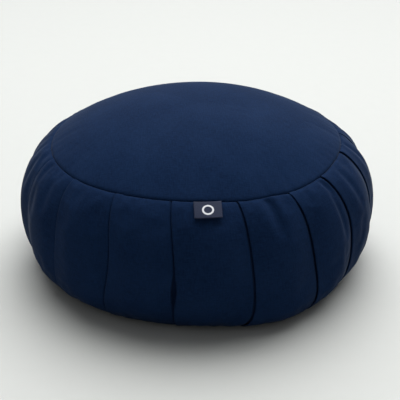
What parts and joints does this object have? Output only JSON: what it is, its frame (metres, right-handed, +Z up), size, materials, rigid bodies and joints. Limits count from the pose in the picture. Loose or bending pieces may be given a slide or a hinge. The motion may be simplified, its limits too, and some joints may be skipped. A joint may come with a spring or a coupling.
{
  "type": "floor cushion",
  "caption": "Round floor cushion: domed top panel, knife-pleated side band and flat base in navy cotton, zipped over a filled inner bag, with a small folded label at the front seam.",
  "frame": {"origin": "centre of the underside, where the flat of the bottom panel rests", "axes": "+Z up through the crown; -Y is the front with the woven label, +Y the back with the zip; +X to the right seen from the front"},
  "size_m": [0.3478, 0.3477, 0.159],
  "materials": {
    "cover_cotton": "heavy navy cotton twill, matt, fine diagonal weave",
    "sewing_thread": "navy polyester sewing thread, slight gleam",
    "woven_label": "slate satin-woven tape with a plain pale mark",
    "white_tape": "white woven tape and thread",
    "zip_tape": "navy woven zip tape",
    "nylon_coil": "navy moulded nylon coil, half gloss",
    "zip_metal": "die-cast zip slider, dark enamel",
    "bag_ticking": "unbleached cotton ticking",
    "hull_filling": "dry loose hulls"
  },
  "bodies": {
    "cushion": {"top_panel": "cover_cotton", "side_band_front": "cover_cotton", "side_band_back": "cover_cotton", "bottom_panel": "cover_cotton", "top_seam_thread": "sewing_thread", "bottom_seam_thread": "sewing_thread", "side_seam_thread_left": "sewing_thread", "side_seam_thread_right": "sewing_thread", "care_label": "white_tape", "zip_tape_upper": "zip_tape", "zip_tape_lower": "zip_tape", "zip_coil_upper": "nylon_coil", "zip_coil_lower": "nylon_coil", "zip_top_stop_upper": "zip_metal", "zip_top_stop_lower": "zip_metal", "zip_bottom_stop": "zip_metal", "zip_thread_upper": "sewing_thread", "zip_thread_lower": "sewing_thread", "inner_bag_top": "bag_ticking", "inner_bag_side": "bag_ticking", "inner_bag_bottom": "bag_ticking", "inner_top_seam_thread": "white_tape", "inner_bottom_seam_thread": "white_tape", "hull_filling": "hull_filling"},
    "slider": {"zip_slider": "zip_metal"},
    "pull_tab": {"zip_pull_tab": "zip_metal"},
    "label": {"woven_label": "woven_label"}
  },
  "joints": [
    {"name": "slider_travel", "type": "hinge", "parent": "cushion", "child": "slider", "pos_m": [0, 0, 0.013], "axis": [0, 0, 1], "range_deg": [0, 88]},
    {"name": "tab_flip", "type": "hinge", "parent": "slider", "child": "pull_tab", "pos_m": [0.11406, 0.11812, 0.013], "axis": [0, 0, -1], "range_deg": [0, 170]},
    {"name": "label_lift", "type": "hinge", "parent": "cushion", "child": "label", "pos_m": [0.00868, -0.1419, 0.12225], "axis": [-0.9981, -0.061, 0], "range_deg": [0, 115], "stiffness_Nm_per_rad": 0.0004, "springref_deg": -17.19}
  ]
}
